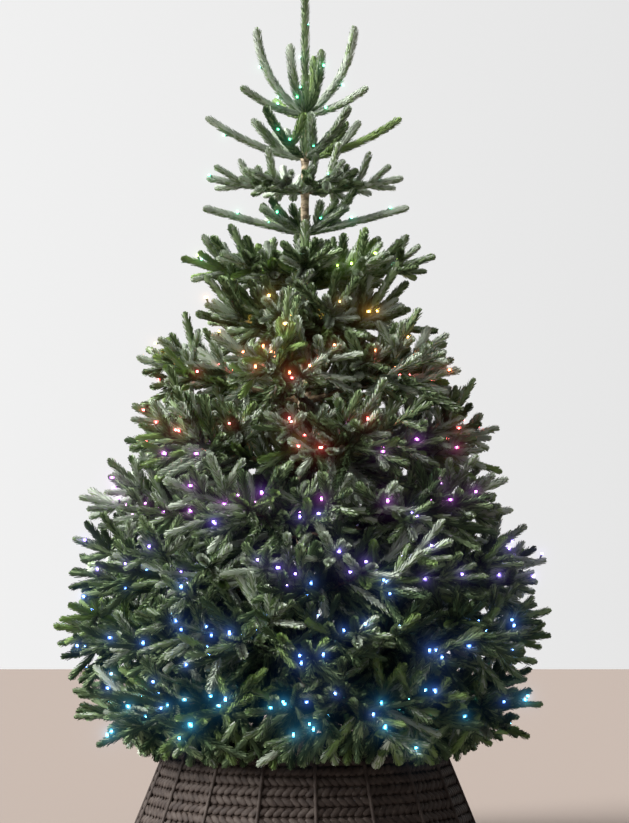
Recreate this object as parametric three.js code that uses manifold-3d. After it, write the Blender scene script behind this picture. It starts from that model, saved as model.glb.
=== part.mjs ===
// A natural-looking fir, cut and stood up as a Christmas tree, in its stand behind a woven collar.
// Millimetres, +Z up. The origin is on the floor, in the middle of the underside of the stand.
// The viewer of the front stands on -Y, so +X is the tree's right-hand side.
// The trunk runs whole from the stand to the leader. Whorls of limbs grow from it: the upper ones are
// thin and open, one piece each round the trunk. Below them each limb ends in a flat fan of needle
// sprays, and on the four widest whorls a bare bough carries the fan out from the trunk.
import * as THREE from "three";
import { mergeVertices } from "three/addons/utils/BufferGeometryUtils.js";
import Module from "manifold-3d";

const wasm = await Module();
wasm.setup();
const { Manifold, Mesh: SolidMesh } = wasm;

// Clear distance between two pieces that touch.
const SEAT_GAP = 0.3;

// Stand: a round foot plate with a socket tube, three flat legs and a web on each leg.
const PLATE = { radius: 62, height: 8, sides: 16 };
const SOCKET = { radius: 37, height: 180 };
const LEG = { width: 32, height: 8, first: 44, count: 3 };
const WEB = { width: 6, height: 110, reach: 170 };

// Woven collar: a cone of flat panels, wide at the floor, with a hoop at its foot and a rolled rim.
const COLLAR = { height: 280, footRadius: 463, rimRadius: 348, wall: 13, panels: 18, seam: 14 };
const WEAVE = { rows: 11, relief: 5 };
const HOOP_HEIGHT = 24;

// Trunk: a straight taper from its cut foot to the leader.
const TRUNK = { footRadius: 29, taper: 0.0116, top: 1955, sides: 12 };

// The leader above the trunk, a needle-clad shoot.
const LEADER = { tip: 2290, core: 6.5, needles: 11.5, rows: 6 };

// Open whorls, one piece each. A limb's path is a curve from the trunk's axis at height z, by a knee
// at (knee x reach, z + lift), to its tip at (reach, z + rise). Each limb is given by its direction
// in degrees from +X, turning towards +Y, and its share of the whorl's reach and rise.
// sprays is how many pairs of side sprays a limb carries.
const OPEN_WHORLS = [
  {
    name: "whorl_01_top",
    z: 1862,
    sets: [
      {
        reach: 124, rise: 222, knee: 0.9, lift: 78, sprays: 0,
        limbs: [[3, 1], [177, 0.98], [246, 0.72], [300, 0.66], [75, 0.7]],
      },
      { reach: 166, rise: 58, knee: 0.5, lift: 4, sprays: 0, limbs: [[338, 0.98], [202, 1], [120, 0.9]] },
    ],
  },
  {
    name: "whorl_02",
    z: 1752,
    sets: [
      {
        reach: 246, rise: 102, knee: 0.5, lift: 16, sprays: 0,
        limbs: [[1, 0.97], [179, 1], [246, 0.95], [297, 0.96], [62, 0.85], [118, 0.9]],
      },
    ],
  },
  {
    name: "whorl_03",
    z: 1668,
    sets: [
      {
        reach: 254, rise: 36, knee: 0.5, lift: 8, sprays: 2,
        limbs: [[3, 1], [177, 1], [232, 0.84], [294, 0.86], [58, 0.86], [120, 0.84]],
      },
    ],
  },
  {
    name: "whorl_04",
    z: 1560,
    sets: [
      {
        reach: 256, rise: 66, knee: 0.5, lift: 30, sprays: 0,
        limbs: [[0, 1], [180, 0.98], [236, 0.72], [302, 0.74], [62, 0.7], [122, 0.72]],
      },
    ],
  },
  {
    name: "whorl_05",
    z: 1420,
    sets: [
      {
        reach: 334, rise: 84, knee: 0.5, lift: 34, sprays: 2,
        limbs: [[357, 1], [183, 0.95], [226, 0.9], [270, 0.92], [314, 0.9], [52, 0.88], [128, 0.88]],
      },
    ],
  },
  {
    name: "whorl_06",
    z: 1288,
    sets: [
      {
        reach: 312, rise: 98, knee: 0.5, lift: 44, sprays: 2,
        limbs: [[16, 0.82], [164, 0.84], [206, 0.9], [250, 0.94], [292, 0.94], [336, 0.88], [90, 0.95]],
      },
    ],
  },
];

// Full whorls, five limbs each. first is the direction of limb 1. bough is the share of the reach at
// which a bare bough hands over to its fan, or 0 where the fan starts at the trunk.
const LIMBS_PER_WHORL = 5;
const FULL_WHORLS = [
  { name: "whorl_07", z: 1140, reach: 430, rise: 112, lift: 44, first: 180, bough: 0 },
  { name: "whorl_08", z: 966, reach: 495, rise: 108, lift: 40, first: 0, bough: 0.3 },
  { name: "whorl_09", z: 800, reach: 572, rise: 100, lift: 34, first: 180, bough: 0.3 },
  { name: "whorl_10", z: 656, reach: 615, rise: 84, lift: 24, first: 0, bough: 0.3 },
  { name: "whorl_11", z: 530, reach: 640, rise: 46, lift: 6, first: 180, bough: 0.3 },
  { name: "whorl_12", z: 420, reach: 605, rise: -44, lift: -24, first: 0, bough: 0 },
];

// The edge of a frond and of a spray: teeth and notches from the root on, as shares of the length and
// of the width. Both are thickest on the midline at RIDGE.
const FROND = { width: 0.5, thick: 0.036, edge: [[0.5, 0.5], [0.44, 0.22], [0.8, 0.44], [0.72, 0.12]] };
const SPRAY = { width: 0.62, thick: 0.06, edge: [[0.62, 0.5], [0.52, 0.16]] };
const RIDGE = 0.25;
// A fan: pairs of fronds leave the stem at these shares of the reach, at an angle forward, and run out
// to this share of the reach. Each pair has one frond that drifts up and one that drifts down.
const FORKS = [
  { at: 0.36, angle: 47, surface: 0.93, drift: 24, roll: 30, kind: FROND },
  { at: 0.5, angle: 44, surface: 0.95, drift: 62, roll: 45, kind: FROND },
  { at: 0.62, angle: 36, surface: 0.93, drift: 84, roll: 60, kind: SPRAY },
];
// Short sprays that stand up from a fan's stem or hang down from it, at these shares of the reach.
const UPRIGHTS = [
  { at: 0.34, slope: -0.72, length: 165 },
  { at: 0.46, slope: 0.66, length: 150 },
];
const LIMB_RADIUS = { root: 8, tip: 3.2 };
const TIP_FROND = 0.36;
const SIDE_ANGLE = 45;
// The ring round the trunk that an open whorl's limbs grow from.
const KNUCKLE = { height: 26, wall: 4, sides: 7 };
const CLAD = { core: 8, needles: 14, row: 62 };
const FOLIAGE_FLOOR = { overCollar: 291, outside: 262, collarReach: 372 };
const SPACE_MARGIN = 1.5;
const SWELL = 40;

const UP = new THREE.Vector3(0, 0, 1);
const rad = THREE.MathUtils.degToRad;
const polar = (radius, degrees, z) =>
  new THREE.Vector3(radius * Math.cos(rad(degrees)), radius * Math.sin(rad(degrees)), z);

// A number from 0 to 1 that is always the same for the same three whole numbers.
function chance(a, b, c) {
  const s = Math.sin(a * 12.9898 + b * 78.233 + c * 37.719) * 43758.5453;
  return s - Math.floor(s);
}
const spread = (amount, a, b, c) => amount * (2 * chance(a, b, c) - 1);

// Solids: geometry in, solid out, and back.

function solidOf(geometry) {
  const bare = geometry.clone();
  bare.deleteAttribute("normal");
  bare.deleteAttribute("uv");
  const merged = mergeVertices(bare, 1e-3);
  const all = merged.index.array;
  const kept = [];
  for (let i = 0; i < all.length; i += 3) {
    const [a, b, c] = [all[i], all[i + 1], all[i + 2]];
    if (a !== b && b !== c && a !== c) kept.push(a, b, c);
  }
  const make = (faces) =>
    new Manifold(
      new SolidMesh({
        numProp: 3,
        vertProperties: new Float32Array(merged.attributes.position.array),
        triVerts: new Uint32Array(faces),
      }),
    );
  const made = make(kept);
  return made.volume() > 0 ? made : make(kept.reverse());
}

function geometryOf(solid) {
  const mesh = solid.getMesh();
  const geometry = new THREE.BufferGeometry();
  const position = new Float32Array(mesh.numVert * 3);
  for (let i = 0; i < mesh.numVert; i++) {
    position.set(mesh.vertProperties.subarray(i * mesh.numProp, i * mesh.numProp + 3), i * 3);
  }
  geometry.setAttribute("position", new THREE.BufferAttribute(position, 3));
  geometry.setIndex(new THREE.BufferAttribute(mesh.triVerts, 1));
  geometry.computeVertexNormals();
  return geometry;
}

// One solid of several that run into each other; a scrap that touches none of them is dropped.
function fuse(solids) {
  const pieces = Manifold.union(solids).decompose();
  return pieces.reduce((a, b) => (a.volume() >= b.volume() ? a : b));
}

// A profile of [radius, z] points turned about the Z axis.
function turned(profile, sides, startDegrees = 0) {
  const points = profile.map(([r, z]) => new THREE.Vector2(r, z));
  const geometry = new THREE.LatheGeometry(points, sides);
  geometry.rotateX(Math.PI / 2);
  geometry.rotateZ(rad(startDegrees) - Math.PI / 2);
  return geometry;
}

// Trunk.

const trunkRadius = (z) => TRUNK.footRadius - TRUNK.taper * z;

function trunkProfile(extra) {
  const heights = [PLATE.height + SEAT_GAP, 640, 1300, TRUNK.top];
  const wall = heights.map((z) => [trunkRadius(z) + extra, z]);
  return [[0, heights[0]], ...wall, [0, TRUNK.top]];
}

const trunkShape = turned(trunkProfile(0), TRUNK.sides);
const roomForTrunk = solidOf(turned(trunkProfile(SEAT_GAP), TRUNK.sides));

// Stand.

function standShape() {
  const bore = trunkRadius(PLATE.height) + 1.2;
  const parts = [
    solidOf(
      turned(
        [
          [0, 0],
          [PLATE.radius, 0],
          [PLATE.radius, PLATE.height],
          [SOCKET.radius, PLATE.height],
          [SOCKET.radius, SOCKET.height],
          [bore, SOCKET.height],
          [bore, PLATE.height],
          [0, PLATE.height],
        ],
        PLATE.sides,
      ),
    ),
  ];
  const hoopInside = (COLLAR.footRadius - COLLAR.wall) * Math.cos(Math.PI / COLLAR.panels);
  const legEnd = hoopInside - SEAT_GAP;
  for (let i = 0; i < LEG.count; i++) {
    const turn = rad(LEG.first + (i * 360) / LEG.count);
    const start = PLATE.radius / 2;
    const bar = new THREE.BoxGeometry(legEnd - start, LEG.width, LEG.height);
    bar.translate((legEnd + start) / 2, 0, LEG.height / 2);
    bar.rotateZ(turn);
    const side = new THREE.Shape([
      new THREE.Vector2(SOCKET.radius - 2, LEG.height - 2),
      new THREE.Vector2(WEB.reach, LEG.height - 2),
      new THREE.Vector2(WEB.reach, LEG.height + 2),
      new THREE.Vector2(SOCKET.radius - 2, WEB.height),
    ]);
    const web = new THREE.ExtrudeGeometry(side, { depth: WEB.width, bevelEnabled: false });
    web.translate(0, 0, -WEB.width / 2);
    web.rotateX(Math.PI / 2);
    web.rotateZ(turn);
    parts.push(solidOf(bar), solidOf(web));
  }
  return fuse(parts);
}

// Collar: the outer wall bulges once for each row of the weave.

function collarShape() {
  const { height, footRadius, rimRadius, wall } = COLLAR;
  const wallRadius = (z) => footRadius + ((rimRadius - footRadius) * z) / height;
  const outer = [
    [footRadius, 0],
    [footRadius, HOOP_HEIGHT * 0.7],
  ];
  const rowHeight = (height - HOOP_HEIGHT) / WEAVE.rows;
  for (let i = 0; i < WEAVE.rows; i++) {
    const foot = HOOP_HEIGHT + i * rowHeight;
    outer.push([wallRadius(foot) - WEAVE.relief, foot]);
    outer.push([wallRadius(foot + rowHeight / 2), foot + rowHeight / 2]);
  }
  const inner = [
    [rimRadius - wall, height - 4],
    [wallRadius(HOOP_HEIGHT) - wall - WEAVE.relief, HOOP_HEIGHT + 14],
    [footRadius - wall, HOOP_HEIGHT],
    [footRadius - wall, 0],
  ];
  const rim = [
    [rimRadius - 2, height - 5],
    [rimRadius - 3, height],
    [rimRadius - wall + 2, height],
  ];
  return turned([...outer, ...rim, ...inner, [footRadius, 0]], COLLAR.panels, COLLAR.seam);
}

// Limbs, twigs and sprays.

// The path of a limb: from the trunk's axis, by the knee, to the tip.
function limbPath(z, degrees, reach, rise, knee, lift) {
  return new THREE.QuadraticBezierCurve3(
    polar(0, degrees, z),
    polar(knee * reach, degrees, z + lift),
    polar(reach, degrees, z + rise),
  );
}

// A part of a path, its vertices moved from a plain cylinder. radiusAt gives the radius at each share.
function bent(path, from, to, sides, steps, radiusAt, shareAt = (s) => s) {
  const geometry = new THREE.CylinderGeometry(1, 1, 1, sides, steps);
  const position = geometry.attributes.position;
  const level = path.getTangent(0).cross(UP).normalize();
  const vertex = new THREE.Vector3();
  for (let i = 0; i < position.count; i++) {
    vertex.fromBufferAttribute(position, i);
    const ring = Math.round((vertex.y + 0.5) * steps);
    const share = shareAt(ring / steps, ring);
    const t = from + (to - from) * share;
    const tangent = path.getTangent(t);
    const raised = level.clone().cross(tangent);
    const radius = radiusAt(share, ring);
    const point = path.getPoint(t);
    point.addScaledVector(level, vertex.x * radius).addScaledVector(raised, vertex.z * radius);
    position.setXYZ(i, point.x, point.y, point.z);
  }
  return solidOf(geometry);
}

const tapered = (root, tip) => (share) => root + (tip - root) * share;

// A single shoot clad in needles: rows of needles flare out of a slim core, pointing to its tip.
function cladShoot(path, from, to, length, sides, row) {
  const rows = Math.max(2, Math.round(length / row));
  const steps = 2 * rows;
  const radiusAt = (share, ring) => {
    if (ring === 0) return CLAD.core * 0.6;
    if (ring === steps) return 2.5;
    return ring % 2 ? CLAD.needles * (1 - 0.25 * share) : CLAD.core;
  };
  const shareAt = (share, ring) => (ring % 2 ? (ring + 0.7) / steps : share);
  return bent(path, from, to, sides, steps, radiusAt, shareAt);
}

// A flat blade of needles, thickest near its root, its edge cut into forward teeth on both sides.
function blade(kind, root, direction, length, roll) {
  const along = direction.clone().normalize();
  const across = along.clone().cross(UP).normalize().applyAxisAngle(along, rad(roll));
  const raised = across.clone().cross(along);
  const at = (x, y, z) =>
    root
      .clone()
      .addScaledVector(along, x * length)
      .addScaledVector(across, y * kind.width * length)
      .addScaledVector(raised, z * kind.thick * length);
  const right = kind.edge.map(([x, y]) => at(x, -y, 0));
  const left = kind.edge.map(([x, y]) => at(x, y, 0)).reverse();
  const outline = [root.clone(), ...right, at(1, 0, 0), ...left];
  const corners = [...outline, at(RIDGE, 0, 0.5), at(RIDGE, 0, -0.5)];
  const [above, below] = [outline.length, outline.length + 1];
  const faces = outline.flatMap((corner, i) => {
    const next = (i + 1) % outline.length;
    return [above, i, next, below, next, i];
  });
  const geometry = new THREE.BufferGeometry();
  geometry.setAttribute("position", new THREE.Float32BufferAttribute(corners.flatMap((p) => p.toArray()), 3));
  geometry.setIndex(faces);
  return { solid: solidOf(geometry), edge: outline.slice(1) };
}

// Spaces: each mass keeps to its own layer of the crown and, in a full whorl, to its own sector.

// The height of a whorl's limbs at a distance from the axis, with the knee taken as half way out.
function heightAt(whorl, radius) {
  const t = Math.min(1, radius / whorl.reach);
  return whorl.z + 2 * t * (1 - t) * whorl.lift + t * t * whorl.rise;
}

const LAYERS = [
  ...OPEN_WHORLS.map((whorl) => {
    const set = whorl.sets[whorl.sets.length - 1];
    return { name: whorl.name, z: whorl.z, reach: set.reach, rise: set.rise, lift: set.lift };
  }),
  ...FULL_WHORLS,
];

// How far a full whorl's layer swells into the next one: most along its limbs, less than nothing
// between them, where the limbs of the next whorl are.
function swell(layer, point) {
  const own = LAYERS[layer];
  const other = LAYERS[layer - 1];
  if (!own || own.first === undefined || !other || other.first === undefined) return 0;
  const around = Math.atan2(point.y, point.x) - rad(own.first);
  const radius = Math.hypot(point.x, point.y);
  return SWELL * Math.min(1, radius / own.reach / 0.5) * Math.cos(LIMBS_PER_WHORL * around);
}

function inLayer(layer, point) {
  const radius = Math.hypot(point.x, point.y);
  const above = LAYERS[layer - 1];
  const below = LAYERS[layer + 1];
  const own = heightAt(LAYERS[layer], radius);
  if (radius < trunkRadius(point.z) + 4) return false;
  if (point.z > TRUNK.top - 20 && radius < 20) return false;
  const ceiling = above ? (own + heightAt(above, radius)) / 2 + swell(layer, point) : Infinity;
  if (point.z > ceiling - SPACE_MARGIN) return false;
  if (below) return point.z > (own + heightAt(below, radius)) / 2 + swell(layer + 1, point) + SPACE_MARGIN;
  const floor = radius < FOLIAGE_FLOOR.collarReach ? FOLIAGE_FLOOR.overCollar : FOLIAGE_FLOOR.outside;
  return point.z > floor;
}

function limbDirection(whorlIndex, limb) {
  const whorl = FULL_WHORLS[whorlIndex];
  return whorl.first + (limb * 360) / LIMBS_PER_WHORL + spread(3, whorlIndex, limb, 1);
}

function inSector(whorlIndex, limb, point) {
  const own = limbDirection(whorlIndex, limb);
  const radius = Math.hypot(point.x, point.y);
  const degrees = THREE.MathUtils.radToDeg(Math.atan2(point.y, point.x));
  const off = THREE.MathUtils.euclideanModulo(degrees - own + 180, 360) - 180;
  const next = limbDirection(whorlIndex, (limb + 1) % LIMBS_PER_WHORL);
  const last = limbDirection(whorlIndex, (limb + LIMBS_PER_WHORL - 1) % LIMBS_PER_WHORL);
  const high = THREE.MathUtils.euclideanModulo(next - own, 360) / 2;
  const low = THREE.MathUtils.euclideanModulo(own - last, 360) / 2;
  const margin = THREE.MathUtils.radToDeg(SPACE_MARGIN / radius);
  return off < high - margin && off > -low + margin;
}

// Adds a blade that fits the space, flatter and shorter where it must be, or none.
function addBlade(parts, inSpace, kind, root, direction, length, roll) {
  for (const [size, turn] of [[1, 1], [1, 0.6], [0.88, 0.6], [0.88, 0.2], [0.75, 0.4], [0.62, 0]]) {
    const made = blade(kind, root, direction, length * size, roll * turn);
    if (made.edge.every(inSpace)) {
      parts.push(made.solid);
      return;
    }
  }
}

// A level direction turned sideways from another, then raised so that it climbs by rise over length.
function heading(from, sideways, rise, length) {
  const flat = from.clone().setZ(0).applyAxisAngle(UP, rad(sideways)).normalize();
  const climb = THREE.MathUtils.clamp(rise / length, -0.9, 0.9);
  return flat.multiplyScalar(Math.sqrt(1 - climb * climb)).setZ(climb);
}

// The fan of one limb of a full whorl.
function fan(whorlIndex, limb) {
  const whorl = FULL_WHORLS[whorlIndex];
  const layer = OPEN_WHORLS.length + whorlIndex;
  const inSpace = (point) => inLayer(layer, point) && inSector(whorlIndex, limb, point);
  const path = limbPath(whorl.z, limbDirection(whorlIndex, limb), whorl.reach, whorl.rise, 0.5, whorl.lift);
  const radiusAt = (t) => LIMB_RADIUS.root + (LIMB_RADIUS.tip - LIMB_RADIUS.root) * t;
  const start = whorl.bough ? whorl.bough + SEAT_GAP / whorl.reach : 0;
  const stemEnd = 1 - TIP_FROND * 0.7;
  const stem = bent(path, start, stemEnd, 4, 2, tapered(radiusAt(start), radiusAt(stemEnd)));
  const parts = [whorl.bough ? stem : stem.subtract(roomForTrunk)];
  const seed = whorlIndex * 7 + limb;
  const side = limb % 2 ? 1 : -1;
  const tipRoot = path.getPoint(1 - TIP_FROND);
  const tipWay = path.getPoint(1).sub(tipRoot);
  parts.push(blade(FROND, tipRoot, tipWay, tipWay.length(), 30 * side + spread(14, seed, 0, 1)).solid);
  FORKS.forEach((fork, i) => {
    for (const hand of [-1, 1]) {
      const angle = hand * fork.angle + spread(4, seed, i, hand + 3);
      const out = whorl.reach * fork.surface;
      const from = whorl.reach * fork.at;
      const length = Math.sqrt(out ** 2 - (from * Math.sin(rad(angle))) ** 2) - from * Math.cos(rad(angle));
      const climb = heightAt(whorl, out) - heightAt(whorl, from);
      const drift = climb + hand * side * (i % 2 ? -1 : 1) * fork.drift * (0.7 + 0.5 * chance(seed, i, hand + 7));
      const way = heading(path.getTangent(fork.at), angle, drift, length);
      const roll = fork.roll * (chance(seed, i, hand + 11) > 0.5 ? 1 : -1);
      addBlade(parts, inSpace, fork.kind, path.getPoint(fork.at), way, length, roll);
    }
  });
  UPRIGHTS.forEach(({ at, slope, length }, i) => {
    const angle = spread(60, seed, i, 21);
    const way = heading(path.getTangent(at), angle, slope, 1);
    const made = blade(SPRAY, path.getPoint(at), way, length, 80 + spread(25, seed, i, 25));
    if (made.edge.every(inSpace)) parts.push(made.solid);
  });
  return fuse(parts);
}

// The bare bough that carries a fan, seated on the trunk.
function bough(whorlIndex, limb) {
  const whorl = FULL_WHORLS[whorlIndex];
  const path = limbPath(whorl.z, limbDirection(whorlIndex, limb), whorl.reach, whorl.rise, 0.5, whorl.lift);
  const tip = LIMB_RADIUS.root + (LIMB_RADIUS.tip - LIMB_RADIUS.root) * whorl.bough;
  const solid = bent(path, 0, whorl.bough, 4, 1, tapered(LIMB_RADIUS.root * 1.15, tip));
  return solid.subtract(roomForTrunk);
}

// An open whorl: a knuckle round the trunk with its limbs fused on.
function openWhorl(index) {
  const whorl = OPEN_WHORLS[index];
  const inSpace = (point) => inLayer(index, point);
  const [low, high] = [whorl.z - KNUCKLE.height / 2, whorl.z + KNUCKLE.height / 2];
  const hole = (trunkRadius(low) + SEAT_GAP) / Math.cos(Math.PI / KNUCKLE.sides);
  const ring = [[hole, low], [hole + KNUCKLE.wall, low + 4], [hole + KNUCKLE.wall, high - 4], [hole, high], [hole, low]];
  const bore = [[0, low - 40], [hole, low - 40], [hole, high + 80], [0, high + 80]];
  const hollow = solidOf(turned(bore, KNUCKLE.sides));
  const parts = [solidOf(turned(ring, KNUCKLE.sides))];
  whorl.sets.forEach((set, setIndex) => {
    set.limbs.forEach(([degrees, share], i) => {
      const [reach, rise] = [set.reach * share, set.rise * share];
      const path = limbPath(whorl.z, degrees, reach, rise, set.knee, set.lift * share);
      const from = Math.min(0.2, (hole + 1) / (2 * set.knee * reach));
      if (!set.sprays) {
        parts.push(cladShoot(path, from, 1, path.getLength(), 3, CLAD.row).subtract(hollow));
        return;
      }
      const stemEnd = 0.55;
      const core = tapered(LIMB_RADIUS.root * 0.55, LIMB_RADIUS.tip);
      parts.push(bent(path, 0, stemEnd, 3, 1, core).subtract(hollow));
      const seed = index * 9 + i;
      const tipRoot = path.getPoint(0.42);
      const tipWay = path.getPoint(1).sub(tipRoot);
      parts.push(blade(FROND, tipRoot, tipWay, tipWay.length(), (i % 2 ? 38 : -38) + spread(12, seed, 0, 4)).solid);
      for (const hand of [-1, 1]) {
        const at = 0.34 + 0.04 * hand;
        const length = reach * 0.36;
        const rise = length * (hand === (i % 2 ? 1 : -1) ? 0.42 : 0.1);
        const way = heading(path.getTangent(at), hand * SIDE_ANGLE, rise, length);
        addBlade(parts, inSpace, SPRAY, path.getPoint(at), way, length, 45 * hand);
      }
    });
  });
  return fuse(parts);
}

// The leader: needle rows flare out of a slim core up to the tree's tip.
function leaderShape() {
  const path = new THREE.LineCurve3(
    new THREE.Vector3(0, 0, TRUNK.top + SEAT_GAP),
    new THREE.Vector3(0, 0, LEADER.tip),
  );
  const profile = [[0, path.v1.z]];
  const rowHeight = (path.v2.z - path.v1.z) / LEADER.rows;
  for (let i = 0; i < LEADER.rows; i++) {
    const z = path.v1.z + i * rowHeight;
    const width = 1 - 0.07 * i;
    profile.push([LEADER.core * width, z], [LEADER.needles * width, z + rowHeight * 0.8]);
  }
  profile.push([0, path.v2.z]);
  return turned(profile, 6);
}

// Materials, from the photo.
const finish = (color, roughness, metalness = 0) =>
  new THREE.MeshStandardMaterial({ color, roughness, metalness, flatShading: true });
const bark = finish(0x8a7458, 0.85);
const limbBark = finish(0x6d5f45, 0.85);
const needles = finish(0x4c6446, 0.55);
const youngNeedles = finish(0x6f8567, 0.55);
const rattan = finish(0x45372f, 0.7);
const steel = finish(0x2a2c2b, 0.45, 0.6);

const tree = new THREE.Group();

function place(name, shape, material) {
  const geometry = shape.isBufferGeometry ? shape : geometryOf(shape);
  const mesh = new THREE.Mesh(geometry, material);
  mesh.name = name;
  tree.add(mesh);
}

place("trunk", trunkShape, bark);
place("leader", leaderShape(), youngNeedles);
place("stand", standShape(), steel);
place("woven_collar", collarShape(), rattan);
OPEN_WHORLS.forEach((whorl, i) => place(whorl.name, openWhorl(i), youngNeedles));
FULL_WHORLS.forEach((whorl, i) => {
  for (let limb = 0; limb < LIMBS_PER_WHORL; limb++) {
    if (whorl.bough) place(`${whorl.name}_bough_${limb + 1}`, bough(i, limb), limbBark);
    place(`${whorl.name}_fan_${limb + 1}`, fan(i, limb), needles);
  }
});

export default tree;
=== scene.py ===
"""A cut fir stood up as a Christmas tree, with its string of lights, its stand and its woven collar.

Lengths in the growth rule are millimetres, and every mesh is made in metres.
"""

import math
from types import SimpleNamespace as Values
from typing import NamedTuple

import bpy
import numpy as np
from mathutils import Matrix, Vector


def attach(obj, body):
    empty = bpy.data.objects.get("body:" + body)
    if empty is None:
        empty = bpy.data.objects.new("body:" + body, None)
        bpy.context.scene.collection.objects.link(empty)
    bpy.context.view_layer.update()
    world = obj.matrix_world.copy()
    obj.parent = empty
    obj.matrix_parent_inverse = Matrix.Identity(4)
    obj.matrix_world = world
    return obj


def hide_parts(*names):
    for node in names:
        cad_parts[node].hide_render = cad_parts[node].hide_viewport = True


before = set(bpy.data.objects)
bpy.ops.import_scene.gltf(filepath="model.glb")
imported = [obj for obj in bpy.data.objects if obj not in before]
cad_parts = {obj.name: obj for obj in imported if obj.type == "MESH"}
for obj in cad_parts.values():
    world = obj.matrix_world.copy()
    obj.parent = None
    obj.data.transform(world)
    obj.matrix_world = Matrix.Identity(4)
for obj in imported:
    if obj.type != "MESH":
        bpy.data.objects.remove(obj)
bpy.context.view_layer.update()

MM = 0.001
BODY = "root"
UP = np.array([0.0, 0.0, 1.0])
HANDS = (-1, 1)

# The tree's sizes, as in the part
TRUNK = Values(foot_radius=29, taper=0.0116, foot=8.3, top=1955)
LEADER = Values(foot=1700.0, tip=2290)
SOCKET = Values(radius=37, height=180)
COLLAR = Values(height=280, foot_radius=463, rim_radius=348, panels=18, seam=14)
WEAVE_ROWS = 11
HOOP_HEIGHT = 24

# Open whorls: height, then sets of limbs with reach, rise, knee, lift, side sprays and (direction, share)
OPEN_WHORLS = [
    ("whorl_01_top", 1862, [
        (124, 222, 0.9, 78, 0, [(3, 1), (177, 0.98), (246, 0.72), (300, 0.66), (75, 0.7)]),
        (166, 58, 0.5, 4, 0, [(338, 0.98), (202, 1), (120, 0.9)]),
    ]),
    ("whorl_02", 1752, [
        (246, 102, 0.5, 16, 0, [(1, 0.97), (179, 1), (246, 0.95), (297, 0.96), (62, 0.85), (118, 0.9)]),
    ]),
    ("whorl_03", 1668, [
        (254, 36, 0.5, 8, 2, [(3, 1), (177, 1), (232, 0.84), (294, 0.86), (58, 0.86), (120, 0.84)]),
    ]),
    ("whorl_04", 1560, [
        (256, 66, 0.5, 30, 0, [(0, 1), (180, 0.98), (236, 0.72), (302, 0.74), (62, 0.7), (122, 0.72)]),
    ]),
    ("whorl_05", 1420, [
        (334, 84, 0.5, 34, 2, [
            (357, 1), (183, 0.95), (226, 0.9), (270, 0.92), (314, 0.9), (52, 0.88), (128, 0.88),
        ]),
    ]),
    ("whorl_06", 1288, [
        (312, 98, 0.5, 44, 2, [
            (16, 0.82), (164, 0.84), (206, 0.9), (250, 0.94), (292, 0.94), (336, 0.88), (90, 0.95),
        ]),
    ]),
]
# The open whorls with rising shoots, the level one, and the first with more inner shoots and lamps
RISING_WHORLS = (1, 3)
LEVEL_WHORL = 4
BROAD_FROM = 4
# Full whorls: height, reach, rise, lift, direction of limb 1, whether its limbs have bare boughs
FULL_WHORLS = [
    ("whorl_07", 1140, 430, 112, 44, 180, False),
    ("whorl_08", 966, 495, 108, 40, 0, True),
    ("whorl_09", 800, 572, 100, 34, 180, True),
    ("whorl_10", 656, 615, 84, 24, 0, True),
    ("whorl_11", 530, 640, 46, 6, 180, True),
    ("whorl_12", 420, 605, -44, -24, 0, False),
]
LIMBS_PER_WHORL = 5
# The full whorls from which the crown closes, and from which it is darker, with deep green inner shoots as
# painted shade in the lower crown
CLOSED_FROM, LOWER_FROM = 1, 3
# Pairs of fronds on a limb: share of the reach, angle forward, surface, drift and roll
FORKS = [
    (0.36, 47, 0.93, 24, 30),
    (0.5, 44, 0.95, 62, 45),
    (0.62, 36, 0.93, 84, 60),
]
# Short sprays above and below a limb: share of the reach, slope, length
UPRIGHTS = [(0.34, -0.72, 165), (0.46, 0.66, 150)]
LIMB_RADIUS = Values(root=8, tip=3.2)
TIP_FROND = Values(share=0.36, past_stem=0.7)
TRUNK_CLEARANCE = 12
SIDE_ANGLE = 45
# The foliage's lowest height over the collar, and how it rises further out
FOLIAGE_FLOOR = Values(over_collar=287, collar_reach=372, outside=238, slopes=[(385, 0.4), (520, 1.1)])

# Shoots between limbs: share of the reach and slope of each
BETWEEN = [(0.15, -0.45), (0.19, 0.1), (0.27, -0.3), (0.34, 0.15)]
FRINGE = Values(
    count=200, root_radius=(300, 520), root_height=(330, 460), tip_radius=(372, 432),
    tip_height=(256, 300), length=(90, 135),
)
WOOD = Values(shoot=2.4, spray=3.0, limb=3.4, leader=5.5, trunk=9)

# Needles: their lengths, then their sizes and how they stand round the shoot
NEEDLE_LENGTH = Values(leader=22, trunk=25, open=28, open_step=0.2, full=29)
NEEDLE = Values(
    per_mm=1.3, fewest=24, width=3.3, root_width=3.4, narrowest=0.66, past_tip=0.7,
    size=(0.94, 1.02), tip_shrink=0.45, turn=2.39996, above=0.95, below=0.62, lean=24,
    tip_lean=11, flatter=0.34, sunk=0.8, lift=0.04,
)
# Shoots that fill the crown have fewer and wider needles
FILLING = Values(needles=0.6, wider=1.5)
STEEP = 0.93
# The shades of needles, and how often a shoot has each in the upper whorls and in the lowest one. Paler above
# and darker below: partly the young needles' own colour, partly painted shade darkening the crown towards its
# bottom
DEEP, MID, GREY, FRESH = range(4)
UPPER_SHADES = (0.04, 0.24, 0.63, 0.09)
LOWER_SHADES = (0.43, 0.39, 0.05, 0.13)
# The shade that some needles on a shoot's ridge take instead of their own, lighter as a painted highlight,
# and the shade that some on its underside take, darker as painted shade
RIDGE_HIGHLIGHT_SHADES = [MID, GREY, GREY, FRESH]
UNDERSIDE_SHADOW_SHADES = [DEEP, DEEP, MID, MID]


class Habit(NamedTuple):
    """How sprays grow: a year's length, how much finer the needles are, the side shoots' angle, start and
    needles, how often a shoot rises above or hangs below the spray, and the gap between its lamps."""

    year: float
    finer: float
    side_angle: tuple
    early: float
    side_needle: float
    off_plane: tuple
    lamp_gap: float


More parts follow.
